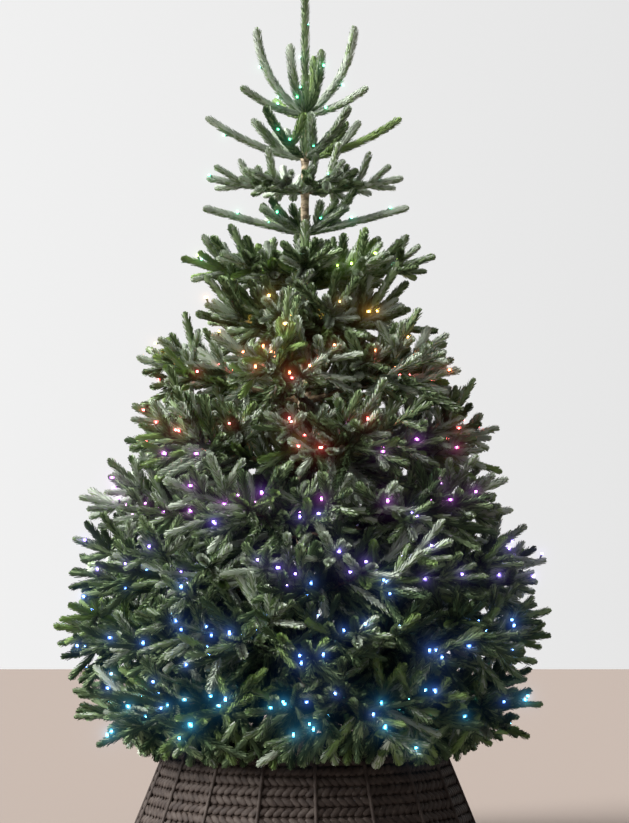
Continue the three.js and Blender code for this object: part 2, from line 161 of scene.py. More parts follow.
OPEN_HABIT = Habit(74, 1.65, (28, 42), 0.28, 0.86, (0.5, 0.25), 84)
BROAD_HABIT = OPEN_HABIT._replace(lamp_gap=50)
FULL_HABIT = Habit(92, 1.0, (36, 49), 0.0, 1.0, (0.75, 0.5), 46)

# Light string: each colour with its glow, and the height down to which it reaches
LAMP_COLOURS = [
    ("teal", (0.1, 1.0, 0.5), 1490),
    ("lime", (0.55, 1.0, 0.12), 1420),
    ("amber", (1.0, 0.5, 0.1), 1290),
    ("orange", (1.0, 0.22, 0.08), 1225),
    ("red", (1.0, 0.1, 0.1), 1020),
    ("purple", (0.6, 0.13, 0.85), 850),
    ("violet", (0.28, 0.18, 1.0), 690),
    ("blue", (0.1, 0.26, 1.0), 420),
    ("cyan", (0.08, 0.55, 1.0), 0),
]
LAMP = Values(strength=35, weak=0.4, weak_colours=2, pale=0.4, band_jitter=22)
LAMP_PLACE = Values(first=0.34, jitter=0.6, pitch=(0.85, 1.2), up=0.5, away=0.4, aim_jitter=0.2)
WIRE = Values(radius=1.1, sides=3, step=13, turn=(75, 110), off_shoot=2)
# The wire and lamps on slim and on full shoots: share of a needle, last place, lie along the shoot
SLIM_STRING = (0.2, 0.82, (1.8, 1.8))
FULL_STRING = (0.28, 0.9, (0.1, 0.9))
HOLDER_PROFILE = [(0, -1), (1.7, -1), (2.4, 3), (2.7, 10), (2.2, 11), (0, 11)]
LENS_PROFILE = [(0, 10.5), (1.7, 10.5), (1.8, 13), (1.4, 14.8), (0, 15.4)]

# Woven collar: turns of strand in each panel's rows, how they lean, and their size
PLAIT = Values(per_panel=7, lean=34, overlap=1.8, thick=20, deep=9.5, inset=6.6)
STRAND_PROFILE = [(0, -0.5), (0.25, -0.47), (0.44, -0.3), (0.5, 0), (0.44, 0.3), (0.25, 0.47), (0, 0.5)]
# The hoop and the rim: height, inset, turns in a panel, and a turn's length and thickness
ROPES = [(12, 7.5, 9, 27, 13.5), (COLLAR.height - 6.5, 6.5, 8, 24, 12.5)]
SEAM_RIB = Values(radius=4.6, inset=3.4, sides=8, rings=14, foot=4, below_rim=6)
# The wall behind the strands, round its section: inset and height
BACKING = [
    (7.5, 2), (8.5, HOOP_HEIGHT), (9, COLLAR.height - 8), (13, COLLAR.height - 4),
    (15.5, COLLAR.height - 8), (15.5, HOOP_HEIGHT), (13, 2),
]
SCREW_PROFILE = [(0, 0), (4, 0), (4, 26), (9, 26), (10, 30), (10, 34), (9, 38), (4, 39), (0, 39)]
SCREWS = Values(bearings=[104, 224, 344], height=150, sunk=3)

# The camera in metres, the floor in millimetres, and the room's light
CAMERA = Values(lens=121.9, sensor=36, place=(0.024, -7.0, 0.88), aim=(0.024, 0.0, 1.114))
FLOOR = Values(half=40000, back=7950, colour=(0.218, 0.185, 0.167))
ROOM = Values(level=0.65, slope=(-0.36, 0.185, 0.0))
WINDOW = Values(way=(1, 0.3, -0.73), power=11.5, softness=46, colour=(1.0, 0.985, 0.955))
GLOW = {"Threshold": 2.0, "Strength": 2.1, "Saturation": 1.0, "Size": 0.06}


def chance(a, b, c):
    """A number from 0 to 1 that is always the same for the same three whole numbers."""
    s = math.sin(a * 12.9898 + b * 78.233 + c * 37.719) * 43758.5453
    return s - math.floor(s)


def spread(amount, a, b, c):
    return amount * (2 * chance(a, b, c) - 1)


def unit(v):
    v = np.asarray(v, float)
    return v / np.maximum(np.linalg.norm(v, axis=-1, keepdims=True), 1e-9)


def polar(radius, degrees, z):
    turn = math.radians(degrees)
    return np.array([radius * math.cos(turn), radius * math.sin(turn), z])


def turned_about(v, axis, degrees):
    """v turned about a unit axis."""
    turn = math.radians(degrees)
    axis = np.asarray(axis, float)
    return (
        v * math.cos(turn)
        + np.cross(axis, v) * math.sin(turn)
        + axis * np.dot(axis, v) * (1 - math.cos(turn))
    )


def trunk_radius(z):
    return TRUNK.foot_radius - TRUNK.taper * z


# Mesh and object helpers

def linked_object(name, data):
    made = bpy.data.objects.new(name, data)
    bpy.context.collection.objects.link(made)
    return made


def mesh_piece(name, points, faces, finishes, finish_of_face=None, smooth=False):
    """A mesh object from arrays of points, in millimetres, and of faces with 3 or 4 corners each."""
    faces = np.asarray(faces, np.int32)
    mesh = bpy.data.meshes.new(name)
    mesh.vertices.add(len(points))
    mesh.vertices.foreach_set("co", (np.asarray(points, np.float32) * MM).ravel())
    mesh.loops.add(faces.size)
    mesh.loops.foreach_set("vertex_index", faces.ravel())
    mesh.polygons.add(len(faces))
    mesh.polygons.foreach_set("loop_start", np.arange(0, faces.size, faces.shape[1], dtype=np.int32))
    if finish_of_face is not None:
        mesh.polygons.foreach_set("material_index", np.asarray(finish_of_face, np.int32))
    mesh.polygons.foreach_set("use_smooth", np.full(len(faces), smooth))
    for finish in finishes:
        mesh.materials.append(finish)
    mesh.update(calc_edges=True)
    return linked_object(name, mesh)


def ride(piece, slot, *nodes):
    """The piece rides with the tree and stands for the nodes, which it hides. slot is not used."""
    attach(piece, BODY)
    if nodes:
        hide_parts(*nodes)


def tube_grid(paths, radii, sides, facing):
    """Points and faces of closed tubes: paths (n, steps, 3), radii (n, steps) or wider, facing (n, 3)."""
    count, steps, _ = paths.shape
    tangents = unit(np.gradient(paths, axis=1))
    level = unit(np.cross(tangents, facing[:, None, :]))
    raised = np.cross(level, tangents)
    turn = np.arange(sides) * 2 * math.pi / sides
    spokes = (
        level[:, :, None, :] * np.cos(turn)[None, None, :, None]
        + raised[:, :, None, :] * np.sin(turn)[None, None, :, None]
    )
    wide = radii[..., None] if radii.ndim == 2 else radii
    rings = paths[:, :, None, :] + spokes * wide[..., None]
    ends = np.stack([paths[:, 0], paths[:, -1]], axis=1)
    points = np.concatenate([rings.reshape(count, -1, 3), ends], axis=1)
    ring = np.arange(sides)
    after = (ring + 1) % sides
    faces = []
    for step in range(steps - 1):
        low, high = step * sides, (step + 1) * sides
        faces.append(np.stack([low + ring, low + after, high + after], 1))
        faces.append(np.stack([low + ring, high + after, high + ring], 1))
    foot, tip = steps * sides, steps * sides + 1
    last = (steps - 1) * sides
    faces.append(np.stack([np.full(sides, foot), after, ring], 1))
    faces.append(np.stack([np.full(sides, tip), last + ring, last + after], 1))
    faces = np.concatenate(faces)[None] + (np.arange(count) * points.shape[1])[:, None, None]
    return points.reshape(-1, 3), faces.reshape(-1, 3)


def tube_piece(name, tubes, finish):
    """One smooth mesh of many tubes, each given as tube_grid takes it."""
    all_points, all_faces, base = [], [], 0
    for tube in tubes:
        points, faces = tube_grid(*tube)
        all_points.append(points)
        all_faces.append(faces + base)
        base += len(points)
    return mesh_piece(name, np.concatenate(all_points), np.concatenate(all_faces), [finish], smooth=True)


# Materials

def add_node(tree, kind, inputs=(), **settings):
    """A new node with its settings. Each input is linked to another node's output or set to a value."""
    node = tree.nodes.new(kind)
    for key, value in settings.items():
        setattr(node, key, value)
    for key, value in dict(inputs).items():
        if isinstance(value, bpy.types.NodeSocket):
            tree.links.new(value, node.inputs[key])
        else:
            node.inputs[key].default_value = value
    return node


def object_noise(tree, scale, detail, stretch=(1, 1, 1)):
    """A noise in the piece's own coordinates, finer along the axes with a larger stretch."""
    place = add_node(tree, "ShaderNodeTexCoord").outputs["Object"]
    scaled = add_node(tree, "ShaderNodeMapping", {"Vector": place, "Scale": stretch}).outputs["Vector"]
    noise = add_node(tree, "ShaderNodeTexNoise", {"Vector": scaled, "Scale": scale, "Detail": detail})
    return noise.outputs["Fac"]


def new_finish(name, colour, roughness, **more):
    """A material whose shader has a colour, a roughness and any other values."""
    finish = bpy.data.materials.new(name)
    finish.use_nodes = True
    shader = finish.node_tree.nodes["Principled BSDF"]
    shader.inputs["Base Color"].default_value = (*colour, 1)
    shader.inputs["Roughness"].default_value = roughness
    for key, value in more.items():
        shader.inputs[key.replace("_", " ")].default_value = value
    return finish


def mottle(finish, noise, stops):
    """The finish's colour runs by a noise through stops, each a place on the noise and a colour."""
    tree = finish.node_tree
    ramp = add_node(tree, "ShaderNodeValToRGB", {"Fac": object_noise(tree, *noise)})
    ramp.color_ramp.elements[0].position = stops[0][0]
    ramp.color_ramp.elements[1].position = stops[-1][0]
    for position, _ in stops[1:-1]:
        ramp.color_ramp.elements.new(position)
    for element, (_, colour) in zip(ramp.color_ramp.elements, stops):
        element.color = (*colour, 1)
    tree.links.new(ramp.outputs["Color"], tree.nodes["Principled BSDF"].inputs["Base Color"])
    return finish


def tones(colour, *shares):
    """Stops from shares of one colour, each with its place on the noise."""
    return [(place, tuple(c * share for c in colour)) for place, share in shares]


def relief(finish, noise, distance, strength=1.0):
    """A fine relief in the finish, its height in metres."""
    tree = finish.node_tree
    height = object_noise(tree, *noise)
    bump = add_node(tree, "ShaderNodeBump", {"Height": height, "Distance": distance, "Strength": strength})
    tree.links.new(bump.outputs["Normal"], tree.nodes["Principled BSDF"].inputs["Normal"])
    return finish


def needle_finish(name, colour):
    finish = new_finish(name, colour, 0.62, Specular_IOR_Level=0.22)
    return mottle(finish, (26, 2), tones(colour, (0.34, 0.72), (0.5, 1), (0.68, 1.25)))


def bark_finish(name, dark, mid, light, scale):
    finish = new_finish(name, mid, 0.82, Specular_IOR_Level=0.25)
    mottle(finish, (scale, 8, (1, 1, 2.2)), [(0.36, dark), (0.5, mid), (0.66, light)])
    return relief(finish, (scale * 5, 6, (1, 1, 2.6)), 0.0012)


def cane_finish(name, dark, mid, light, roughness, shine):
    finish = new_finish(name, mid, roughness, Specular_IOR_Level=shine)
    mottle(finish, (42, 5), [(0.35, dark), (0.52, mid), (0.7, light)])
    return relief(finish, (300, 3, (1, 1, 0.4)), 0.0007)


def moulded_plastic(name, colour, roughness):
    finish = new_finish(name, colour, roughness)
    return mottle(finish, (240, 3), tones(colour, (0.35, 0.7), (0.5, 1), (0.65, 1.4)))


def lit_lens(name, colour, glow, strength):
    finish = new_finish(name, colour, 0.2, Emission_Color=(*glow, 1), Emission_Strength=strength)
    return mottle(finish, (500, 2), tones(colour, (0.3, 0.85), (0.7, 1)))


NEEDLE_FINISHES = [
    needle_finish("deep_green_needles", (0.055, 0.092, 0.04)),
    needle_finish("green_needles", (0.18, 0.25, 0.125)),
    needle_finish("grey_green_needles", (0.365, 0.42, 0.345)),
    needle_finish("fresh_green_needles", (0.165, 0.25, 0.078)),
]
TRUNK_BARK = bark_finish("trunk_bark", (0.15, 0.115, 0.075), (0.43, 0.345, 0.24), (0.62, 0.52, 0.38), 60)
LIMB_BARK = bark_finish("limb_bark", (0.07, 0.05, 0.03), (0.17, 0.125, 0.07), (0.28, 0.2, 0.12), 90)
TWIG_BARK = bark_finish("twig_bark", (0.06, 0.055, 0.025), (0.14, 0.12, 0.06), (0.24, 0.2, 0.11), 120)
CANE = cane_finish(
    "dark_cane", (0.019, 0.013, 0.011), (0.031, 0.0225, 0.019), (0.047, 0.037, 0.032), 0.7, 0.2,
)
CANE_SHADE = cane_finish(
    "cane_backing", (0.017, 0.012, 0.01), (0.028, 0.021, 0.018), (0.04, 0.032, 0.027), 0.95, 0.05,
)
STEEL = new_finish("dark_paint", (0.018, 0.02, 0.02), 0.4, Specular_IOR_Level=0.5, Coat_Weight=0.25)
relief(STEEL, (420, 2), 0.0002, 0.5)
WIRE_GREEN = moulded_plastic("wire_green", (0.012, 0.05, 0.024), 0.4)
LAMP_GREEN = moulded_plastic("lamp_holder_green", (0.014, 0.06, 0.03), 0.35)


# Growth rule: a shoot is a curve, root + run * s + bow * s * s, with needles of one length and one shade

def height_at(whorl, radius):
    _, z, reach, rise, lift = whorl[:5]
    t = min(1, radius / reach)
    return z + 2 * t * (1 - t) * lift + t * t * rise


class Shoot(NamedTuple):
    root: np.ndarray
    run: np.ndarray
    bow: np.ndarray
    needle: float
    shade: int
    wood: float
    fill: bool


class Growth:
    """All the shoots of one whorl, with the woody stems and the paths that the light string takes."""

    def __init__(self, seed, shades, habit):
        self.random = np.random.default_rng(seed)
        self.habit = habit
        self.shades = shades
        self.shoots = []
        self.stems = []
        self.strung = []

    def shade(self):
        return self.random.choice(4, p=self.shades)

    def add(self, root, run, bow, needle, shade=None, wood=WOOD.shoot, fill=False):
        if shade is None:
            shade = self.shade()
        self.shoots.append(Shoot(root, run, bow, needle, shade, wood, fill))


def clear_of_floor(tip):
    radius = math.hypot(tip[0], tip[1])
    if radius < FOLIAGE_FLOOR.collar_reach:
        return tip[2] > FOLIAGE_FLOOR.over_collar
    rise = sum(slope * max(0, radius - start) for start, slope in FOLIAGE_FLOOR.slopes)
    return tip[2] > FOLIAGE_FLOOR.outside + rise


def clear_of_trunk(tip):
    return math.hypot(tip[0], tip[1]) > trunk_radius(tip[2]) + TRUNK_CLEARANCE


def finger(growth, root, way, length, lift, needle, shade=None, fill=False):
    """A side shoot that curves up by lift over its length, kept off the floor and the trunk."""
    for flatter in (1, 0.4, 0, -0.3):
        aim = unit(way * [1, 1, flatter if way[2] < 0 else 1])
        bow = UP * lift * length
        run = aim * length - bow * 0.4
        tip = root + run + bow
        if clear_of_floor(tip + aim * needle * NEEDLE.past_tip):
            break
    else:
        return
    if clear_of_trunk(tip):
        growth.add(root, run, bow, needle, shade, fill=fill)


def frond(growth, root, way, length, roll, needle, strung=False):
    """A flat spray: a main shoot with a pair of side shoots at each year's end, and a few off its plane."""
    rnd = growth.random
    along = unit(way)
    across = turned_about(unit(np.cross(along, UP)), along, roll)
    raised = np.cross(across, along)
    bow = raised * length * rnd.uniform(-0.02, 0.05) + UP * length * rnd.uniform(0, 0.05)
    length -= needle * NEEDLE.past_tip
    run = along * length - bow
    shade = growth.shade()
    growth.add(root, run, bow, needle, shade, wood=WOOD.spray)
    if strung:
        growth.strung.append((root, run, bow, needle))
    side_needle = needle * growth.habit.side_needle
    longest = growth.habit.year * 1.75
    years = max(2, round(length / growth.habit.year))
    for year in range(1, years):
        at = (year - growth.habit.early + rnd.uniform(-0.12, 0.12)) / years
        start = root + run * at + bow * at * at
        left = length * (1 - at)
        for hand in HANDS:
            reach = min(left * 0.97, longest) * rnd.uniform(0.8, 1.08)
            aim = turned_about(along, raised, hand * rnd.uniform(*growth.habit.side_angle))
            aim = turned_about(aim, along, rnd.uniform(-22, 22))
            own = shade if rnd.random() < 0.6 else None
            finger(growth, start, aim, reach, rnd.uniform(0, 0.1), side_needle * rnd.uniform(0.94, 1.06), own)
            if reach > longest * 0.72:
                forked = start + unit(aim) * reach * rnd.uniform(0.36, 0.48)
                aim = turned_about(unit(aim), raised, hand * rnd.uniform(32, 44))
                finger(growth, forked, aim, reach * 0.55, 0.05, side_needle * 0.95, own)
        for hand, share in zip((1, -1), growth.habit.off_plane):
            if rnd.random() > share:
                continue
            aim = turned_about(along, across, -hand * rnd.uniform(32, 54))
            aim = turned_about(aim, along, rnd.uniform(-40, 40))
            reach = min(left * 0.85, longest * 0.71) * rnd.uniform(0.75, 1)
            finger(growth, start, aim, reach, rnd.uniform(0, 0.12), side_needle * 0.97)


def level_turned(way, sideways):
    flat = unit(np.array([way[0], way[1], 0.0]))
    return unit(turned_about(flat, UP, sideways))


def heading(way, sideways, rise, length):
    """A level direction turned sideways from another, then raised so that it climbs by rise over length."""
    climb = max(-0.9, min(0.9, rise / length))
    flat = level_turned(way, sideways) * math.sqrt(1 - climb * climb)
    return np.array([flat[0], flat[1], climb])


def limb_curve(z, degrees, reach, rise, knee, lift):
    """A limb's path from the trunk's axis as root, run and bow."""
    root = polar(0, degrees, z)
    middle = polar(knee * reach, degrees, z + lift)
    tip = polar(reach, degrees, z + rise)
    return root, 2 * (middle - root), root - 2 * middle + tip


def on_curve(curve, t):
    root, run, bow = curve
    return root + run * t + bow * t * t


def curve_way(curve, t):
    return unit(curve[1] + 2 * curve[2] * t)


def part_of(curve, start, end):
    root, run, bow = curve
    share = end - start
    return on_curve(curve, start), (run + 2 * bow * start) * share, bow * share * share


def tip_frond(growth, curve, start, roll, needle, strung=False):
    """The spray that ends a limb, from a share of its length to its tip."""
    root = on_curve(curve, start)
    way = on_curve(curve, 1) - root
    frond(growth, root, way, np.linalg.norm(way), roll, needle, strung)


def grow_fan(growth, index, limb, needle):
    """A limb of a full whorl with all the sprays and shoots that it carries."""
    whorl = FULL_WHORLS[index]
    _, z, reach, rise, lift, first_limb, _ = whorl
    direction = first_limb + limb * 360 / LIMBS_PER_WHORL + spread(3, index, limb, 1)
    curve = limb_curve(z, direction, reach, rise, 0.5, lift)
    seed = index * 7 + limb
    side = 1 if limb % 2 else -1
    stem_end = 1 - TIP_FROND.share * TIP_FROND.past_stem
    growth.stems.append((curve, stem_end, LIMB_RADIUS.root, LIMB_RADIUS.tip))
    growth.strung.append((*part_of(curve, 0.12, 0.66), needle))
    roll = 30 * side + spread(14, seed, 0, 1)
    tip_frond(growth, curve, 1 - TIP_FROND.share, roll, needle, True)
    for i, (at, fork_angle, surface, drift_by, fork_roll) in enumerate(FORKS):
        for hand in HANDS:
            angle = hand * fork_angle + spread(4, seed, i, hand + 3)
            out, start = reach * (surface + (0.04 if index >= LOWER_FROM else 0)), reach * at
            length = math.sqrt(out**2 - (start * math.sin(math.radians(angle))) ** 2)
            length -= start * math.cos(math.radians(angle))
            climb = height_at(whorl, out) - height_at(whorl, start)
            drift = hand * side * (-1 if i % 2 else 1) * drift_by * (0.7 + 0.5 * chance(seed, i, hand + 7))
            way = heading(curve_way(curve, at), angle, climb + drift, length)
            roll = fork_roll * (1 if chance(seed, i, hand + 11) > 0.5 else -1)
            frond(growth, on_curve(curve, at), way, length, roll, needle, True)
    for i, (at, slope, length) in enumerate(UPRIGHTS):
        angle = spread(60, seed, i, 21)
        way = heading(curve_way(curve, at), angle, slope, 1)
        if clear_of_floor(on_curve(curve, at) + way * length):
            frond(growth, on_curve(curve, at), way, length, 80 + spread(25, seed, i, 25), needle)
    # Inner shoots of the lower whorls are deep green: painted shade in the lower crown
    inner_shoots(growth, curve, needle, 22, MID if index < LOWER_FROM else DEEP)
    if index >= CLOSED_FROM:
        shoots_between(growth, curve, needle)
    # The filling shoot along the limb is deep green: painted shade inside the crown
    growth.add(*part_of(curve, 0.3, 0.7), needle, DEEP, fill=True)


def inner_shoots(growth, curve, needle, count, shade, longest=200, from_upright=180):
    """Short shoots round the inner part of a limb, most of them in one shade, where the crown closes."""
    rnd = growth.random
    for i in range(count):
        at = 0.08 + 0.6 * (i + rnd.random()) / count
        way = curve_way(curve, at)
        aim = turned_about(way, unit(np.cross(way, UP)), rnd.uniform(35, 65))
        aim = turned_about(aim, way, rnd.uniform(-from_upright, from_upright))
        own = shade if rnd.random() < 0.7 else None
        length = longest * rnd.uniform(0.65, 1)
        finger(growth, on_curve(curve, at), aim, length, rnd.uniform(0, 0.1), needle, own, True)


def shoots_between(growth, curve, needle):
    """Long side shoots near the trunk that close the wedge between a limb and its neighbours."""
    rnd = growth.random
    for hand in HANDS:
        for at, slope in BETWEEN:
            flat = level_turned(curve_way(curve, at), hand * rnd.uniform(34, 62))
            way = flat + UP * (slope + rnd.uniform(-0.1, 0.1))
            # Most of these shoots are deep green: painted shade in the wedge by the trunk
            own = DEEP if rnd.random() < 0.6 else None
            length, lift = rnd.uniform(190, 260), rnd.uniform(0, 0.08)
            finger(growth, on_curve(curve, at), way, length, lift, needle, own, True)


def hang_fringe(fringe, whorl, needle):
    """Shoots evenly round the collar that hang from the lowest whorl's sprays over its rim."""
    rnd = fringe.random
    curves = [(s.root, s.run, s.bow) for s in whorl.shoots] + [stem[0] for stem in whorl.stems]
    points = np.array([on_curve(curve, share) for curve in curves for share in (0.2, 0.45, 0.7, 0.95)])
    radius = np.hypot(points[:, 0], points[:, 1])
    nearest, furthest = FRINGE.root_radius
    lowest, highest = FRINGE.root_height
    height = points[:, 2]
    points = points[(radius > nearest) & (radius < furthest) & (height > lowest) & (height < highest)]
    count = FRINGE.count
    for number in range(count):
        bearing = (number + rnd.uniform(-0.5, 0.5)) * 360 / count
        target = polar(rnd.uniform(*FRINGE.tip_radius), bearing, rnd.uniform(*FRINGE.tip_height))
        gaps = np.linalg.norm(points - target, axis=1)
        point = points[np.argmin(np.abs(gaps - rnd.uniform(*FRINGE.length)))]
        reach = np.linalg.norm(target - point)
        finger(fringe, point, (target - point) / reach, reach, 0.03, needle)


def grow_open_whorl(growth, index, needle):
    """The limbs of an open whorl. Some carry a spray at the tip and one at each side."""
    _, z, sets = OPEN_WHORLS[index]
    level, broad = index == LEVEL_WHORL, index >= BROAD_FROM
    for reach_all, rise_all, knee, lift, sprays, limbs in sets:
        for i, (degrees, share) in enumerate(limbs):
            reach, rise = reach_all * share, rise_all * share
            curve = limb_curve(z, degrees, reach, rise, knee, lift * share)
            start = (trunk_radius(z) + 1) / (2 * knee * reach)
            whole = part_of(curve, start, 0.97)
            growth.strung.append((*whole, needle))
            if not sprays:
                growth.add(*whole, needle, wood=WOOD.limb)
                if index in RISING_WHORLS:
                    rising_sides(growth, curve, reach, needle)
                continue
            growth.stems.append((curve, 0.55, LIMB_RADIUS.root * 0.55, LIMB_RADIUS.tip))
            growth.add(*part_of(curve, start, 0.45), needle, wood=WOOD.limb)
            upper = 1 if i % 2 else -1
            roll = (38 * upper + spread(12, index * 9 + i, 0, 4)) * (0.3 if level else 1)
            tip_frond(growth, curve, 0.42, roll, needle)
            for hand in HANDS:
                at = 0.34 + 0.04 * hand
                length = reach * 0.36
                up = length * (0.5 if hand == upper else 0.35 if level else 0.2)
                way = heading(curve_way(curve, at), hand * SIDE_ANGLE, up, length)
                roll = (14 if level else 45) * hand
                frond(growth, on_curve(curve, at), way, length, roll, needle, broad)
            if level:
                for share in (0.85, 0.65, 0.5):
                    rising_sides(growth, curve, reach * share, needle * 0.92, (0.5, 1.0))
                inner_shoots(growth, curve, needle, 8, MID, 120, 110)
            elif broad:
                inner_shoots(growth, curve, needle, 12, MID, 165)
            else:
                inner_shoots(growth, curve, needle * 0.86, 2, GREY, 90, 70)


def rising_sides(growth, curve, reach, needle, slopes=(0.6, 1.1)):
    """A pair of side shoots near the trunk that rise from a limb."""
    rnd = growth.random
    for hand in HANDS:
        at = rnd.uniform(0.12, 0.36)
        flat = level_turned(curve_way(curve, at), hand * rnd.uniform(15, 50))
        way = flat + UP * rnd.uniform(*slopes)
        finger(growth, on_curve(curve, at), way, reach * rnd.uniform(0.34, 0.48), 0.1, needle)


# Needles, twigs and bark from the shoots

def of_shoots(shoots, field):
    return np.array([getattr(shoot, field) for shoot in shoots])


def needle_arrays(growth):
    """Corner points and shades of every needle on a whorl's shoots: a narrow root and a blunt tip each."""
    rnd = growth.random
    root, run, bow, needle, shade, thickness, fill = (
        of_shoots(growth.shoots, field) for field in Shoot._fields
    )
    length = np.linalg.norm(run + bow, axis=1)
    per_mm = NEEDLE.per_mm * growth.habit.finer * np.where(fill, FILLING.needles, 1)
    count = np.maximum(NEEDLE.fewest, (length * per_mm).astype(int))
    shoot = np.repeat(np.arange(len(root)), count)
    order = np.arange(len(shoot)) - np.repeat(np.cumsum(count) - count, count)
    share = (order + 0.5) / count[shoot]
    s = share[:, None]
    point = root[shoot] + run[shoot] * s + bow[shoot] * s * s
    tangent = unit(run[shoot] + 2 * bow[shoot] * s)
    upward = np.where(np.abs(tangent[:, 2:]) > STEEP, unit(root[shoot] * [1, 1, 0]) + [0.01, 0, 0], UP)
    level = unit(np.cross(tangent, upward))
    raised = np.cross(level, tangent)
    turn = order * NEEDLE.turn + rnd.normal(0, 0.14, len(shoot))
    side, top = np.cos(turn), np.sin(turn)
    top = np.where(top < 0, top * NEEDLE.below, top * NEEDLE.above)
    around = unit(level * side[:, None] + raised * top[:, None])
    from_tip = length[shoot] * (1 - share)
    near_tip = np.clip(1 - from_tip / (needle[shoot] * NEEDLE.past_tip), 0, 1)
    lean = np.radians(NEEDLE.lean + (NEEDLE.tip_lean - NEEDLE.lean) * near_tip)
    lean *= 1 - NEEDLE.flatter * np.abs(np.sin(turn)) * (1 - np.abs(tangent[:, 2])) * (1 - near_tip)
    lean = (lean + rnd.normal(0, 0.03 + 0.07 * near_tip))[:, None]
    way = tangent * np.cos(lean) + around * np.sin(lean)
    outward = around * np.cos(lean) - tangent * np.sin(lean)
    twist = rnd.normal(0, 0.18, len(shoot))[:, None]
    across = unit(np.cross(way, outward))
    across = unit(across * np.cos(twist) + outward * np.sin(twist))
    size = needle[shoot] * (1 - NEEDLE.tip_shrink * near_tip)
    size *= rnd.uniform(*NEEDLE.size, len(shoot))
    size *= 0.8 + 0.2 * np.clip(share / 0.12, 0, 1)
    wood = thickness[shoot] * (1 - 0.55 * share)
    foot = point + around * wood[:, None] * NEEDLE.sunk
    tip = foot + way * size[:, None] + UP * size[:, None] * NEEDLE.lift
    slim = np.clip(needle / NEEDLE_LENGTH.full, NEEDLE.narrowest, 1)
    wider = (np.where(fill, FILLING.wider, 1) * slim)[shoot, None]
    narrow, wide = across * NEEDLE.root_width / 2 * wider, across * NEEDLE.width / 2 * wider
    corners = np.stack([foot + narrow, foot - narrow, tip - wide, tip + wide], 1)
    own = shade[shoot]
    dice = rnd.random(len(shoot))
    # Painted highlight: some needles on the shoot's upper sides take a lighter shade; painted shade: some
    # underneath take a darker one
    on_highlit_ridge = (np.abs(side) > 0.35) & (top > 0.1) & (dice < 0.28)
    shades = np.where(on_highlit_ridge, np.array(RIDGE_HIGHLIGHT_SHADES)[own], own)
    shades = np.where((top < -0.15) & (dice > 0.5), np.array(UNDERSIDE_SHADOW_SHADES)[own], shades)
    return corners, shades


def needle_piece(name, growths, slot, *nodes):
    made = [needle_arrays(growth) for growth in growths]
    corners, shades = (np.concatenate(part) for part in zip(*made))
    faces = np.arange(len(corners) * 4).reshape(-1, 4)
    piece = mesh_piece(name, corners.reshape(-1, 3), faces, NEEDLE_FINISHES, shades)
    ride(piece, slot, *nodes)


def twig_piece(name, growths, slot):
    """The woody cores of all the shoots."""
    shoots = [shoot for growth in growths for shoot in growth.shoots]
    root, run, bow = (of_shoots(shoots, field)[:, None] for field in ("root", "run", "bow"))
    steps = np.linspace(0, 0.98, 4)[None, :, None]
    paths = root + run * steps + bow * steps * steps
    radii = of_shoots(shoots, "wood")[:, None] * np.linspace(1, 0.45, 4)[None]
    way = unit(run[:, 0] + bow[:, 0])
    facing = np.where(np.abs(way[:, 2:]) > STEEP, [1.0, 0.0, 0.0], UP)
    ride(tube_piece(name, [(paths, radii, 3, facing)], TWIG_BARK), slot)


def lattice_noise(u, v, cells, seed):
    """Smooth noise from -1 to 1 that closes round in u, with cells round and a cell height in v."""
    around, tall = cells
    x = (u * around) % around
    y = v / tall
    xi, yi = np.floor(x).astype(int), np.floor(y).astype(int)
    fx, fy = x - xi, y - yi
    fx, fy = fx * fx * (3 - 2 * fx), fy * fy * (3 - 2 * fy)

    def corner(i, j):
        s = np.sin((i % around) * 12.9898 + j * 78.233 + seed * 37.719) * 43758.5453
        return (s - np.floor(s)) * 2 - 1

    low = corner(xi, yi) * (1 - fx) + corner(xi + 1, yi) * fx
    high = corner(xi, yi + 1) * (1 - fx) + corner(xi + 1, yi + 1) * fx
    return low * (1 - fy) + high * fy


def bark_relief(turn, along, seed):
    """How far bark stands out or sinks in, as a share of its depth: blisters, wrinkles and fine scales."""
    wide = lattice_noise(turn, along, (5, 60), seed)
    wrinkles = lattice_noise(turn, along, (9, 11), seed + 1)
    scales = lattice_noise(turn, along, (17, 5), seed + 2)
    return 0.4 * wide + 0.35 * wrinkles + 0.35 * scales


def trunk_bark():
    """The trunk with its bark, and a low ring at each whorl."""
    sides, step = 36, 5.0
    heights = np.append(np.arange(TRUNK.foot, TRUNK.top, step), TRUNK.top)
    turns, along = np.meshgrid(np.arange(sides) / sides, heights)
    depth = np.where(heights < SOCKET.height + 12, 0.7, 1.7 - 0.9 * heights / TRUNK.top)
    radius = trunk_radius(heights)[:, None] + bark_relief(turns, along, 3) * depth[:, None]
    for whorl in OPEN_WHORLS + FULL_WHORLS:
        ring = np.exp(-(((heights - whorl[1]) / 12) ** 2))[:, None]
        radius += ring * (2.6 + 0.8 * np.sin(turns * 12 * math.pi))
    path = np.stack([0 * heights, 0 * heights, heights], 1)[None]
    tube = (path, radius[None], sides, np.array([[1.0, 0, 0]]))
    ride(tube_piece("bark_of_trunk", [tube], TRUNK_BARK), "bark", "trunk")


